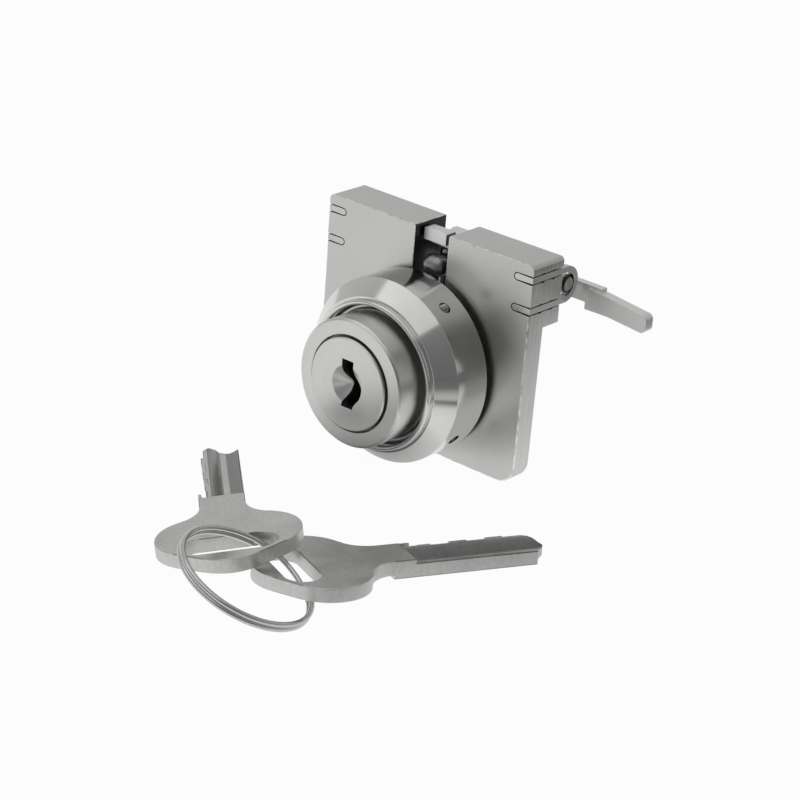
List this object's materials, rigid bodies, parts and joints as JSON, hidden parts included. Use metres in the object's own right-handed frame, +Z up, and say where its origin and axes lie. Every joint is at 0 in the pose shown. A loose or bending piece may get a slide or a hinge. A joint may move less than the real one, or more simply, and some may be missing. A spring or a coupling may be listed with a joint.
{
  "type": "cylinder lock",
  "caption": "Panel-mounted cylinder lock with a turning core, a screw-on clamp collar, a sprung latch rocker on a pivot rod, and cut keys on a split ring.",
  "frame": {"origin": "on the barrel axis, in the front face of the mounting plate, where the panel's round hole is centred", "axes": "+X to the right as seen from the keyhole side, towards the rocker's arm; +Y back into the cabinet; +Z up; the keyhole looks along -Y"},
  "size_m": [0.0739, 0.0996, 0.044],
  "materials": {
    "plate_metal": "satin nickel plate on a casting",
    "barrel_metal": "satin nickel",
    "collar_metal": "polished nickel",
    "dark_steel": "hardened steel",
    "core_brass": "turned brass",
    "wire_steel": "bright steel wire",
    "key_steel": "tumbled nickel-plated steel"
  },
  "bodies": {
    "housing": {"mounting_plate": "plate_metal", "threaded_sleeve": "barrel_metal", "cylinder_shell": "barrel_metal", "shell_pin": "wire_steel", "pivot_rod": "wire_steel", "rod_clip_left": "wire_steel", "rod_clip_right": "wire_steel", "return_spring": "wire_steel"},
    "collar": {"clamp_collar": "collar_metal"},
    "core": {"core_face": "barrel_metal", "drill_plate": "dark_steel", "core_drum": "core_brass", "detainer_discs": "core_brass", "spacer_rings": "dark_steel", "sidebar": "dark_steel", "drive_cam": "dark_steel", "tail_clip": "dark_steel"},
    "plunger": {"lift_plunger": "wire_steel"},
    "rocker": {"latch_rocker": "plate_metal"},
    "split_ring": {"key_ring": "wire_steel"},
    "left_key": {"key_left": "key_steel"},
    "right_key": {"key_right": "key_steel"}
  },
  "joints": [
    {"name": "core_turn", "type": "hinge", "parent": "housing", "child": "core", "pos_m": [0, 0, 0], "axis": [0, 1, 0], "range_deg": [0, 90]},
    {"name": "plunger_lift", "type": "slide", "parent": "housing", "child": "plunger", "axis": [0, 0, 1], "range_m": [0, 0.00218]},
    {"name": "rocker_swing", "type": "hinge", "parent": "housing", "child": "rocker", "pos_m": [0, 0.01083, 0.0202], "axis": [-1, 0, 0], "range_deg": [0, 25.01], "stiffness_Nm_per_rad": 0.01, "springref_deg": -22.92, "deforming": ["return_spring"]},
    {"name": "collar_unscrew", "type": "slide", "parent": "housing", "child": "collar", "axis": [0, -1, 0], "range_m": [0, 0.013]},
    {"name": "key_set_lift", "type": "slide", "parent": "housing", "child": "split_ring", "axis": [0, 0, 1], "range_m": [0, 0.06]},
    {"name": "key_left_swing", "type": "hinge", "parent": "split_ring", "child": "left_key", "pos_m": [0.02517, -0.07123, -0.01192], "axis": [0.354, 0.2391, 0.9042], "range_deg": [0, 40]},
    {"name": "key_right_swing", "type": "hinge", "parent": "split_ring", "child": "right_key", "pos_m": [0.02517, -0.07123, -0.01192], "axis": [0.354, 0.2391, 0.9042], "range_deg": [-40, 0]}
  ],
  "couplings": [
    {"joint": "plunger_lift", "follows": "core_turn", "m_per_rad": 0.0013861},
    {"joint": "rocker_swing", "follows": "core_turn", "ratio": 0.27778}
  ]
}
